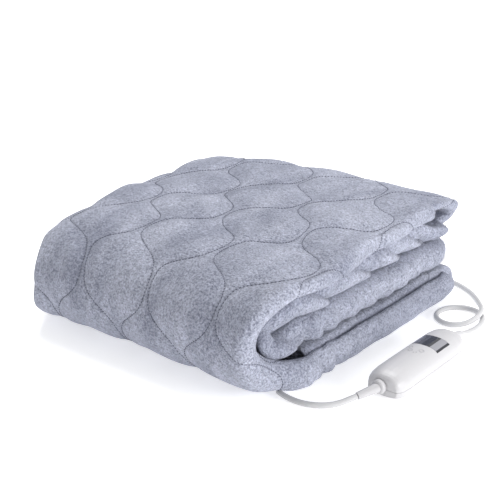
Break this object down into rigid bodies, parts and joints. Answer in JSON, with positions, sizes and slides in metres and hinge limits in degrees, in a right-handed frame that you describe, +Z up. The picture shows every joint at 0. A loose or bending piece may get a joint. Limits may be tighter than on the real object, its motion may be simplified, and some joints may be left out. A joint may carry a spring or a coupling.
{
  "type": "folded electric heated blanket with hand control",
  "caption": "Folded quilted fleece heated blanket with a hand control, its lead and a mains lead wound in a coil.",
  "frame": {"origin": "middle of the folded blanket's flat underside, on the surface it rests on", "axes": "+Z up, X along the fold lines with the hand control at +X, -Y towards the big round fold, +Y towards the loose loops"},
  "size_m": [0.3843, 0.4298, 0.1108],
  "materials": {
    "fleece": "soft brushed velvet fleece, grey blue",
    "stitching": "dark running stitch",
    "white_plastic": "satin white",
    "dark_window": "glossy dark display window",
    "lead": "smooth white sheath",
    "pin_metal": "plated brass pins"
  },
  "bodies": {
    "root": {"throw": "fleece", "control_lower_shell": "white_plastic", "control_upper_shell": "white_plastic", "control_window": "dark_window", "near_strain_relief": "white_plastic", "far_strain_relief": "white_plastic", "head_lead": "lead", "mains_lead": "lead", "mains_lead_coil": "lead", "plug_body": "white_plastic", "plug_strain_relief": "white_plastic", "plug_pin_near": "pin_metal", "plug_pin_far": "pin_metal"}
  },
  "joints": []
}
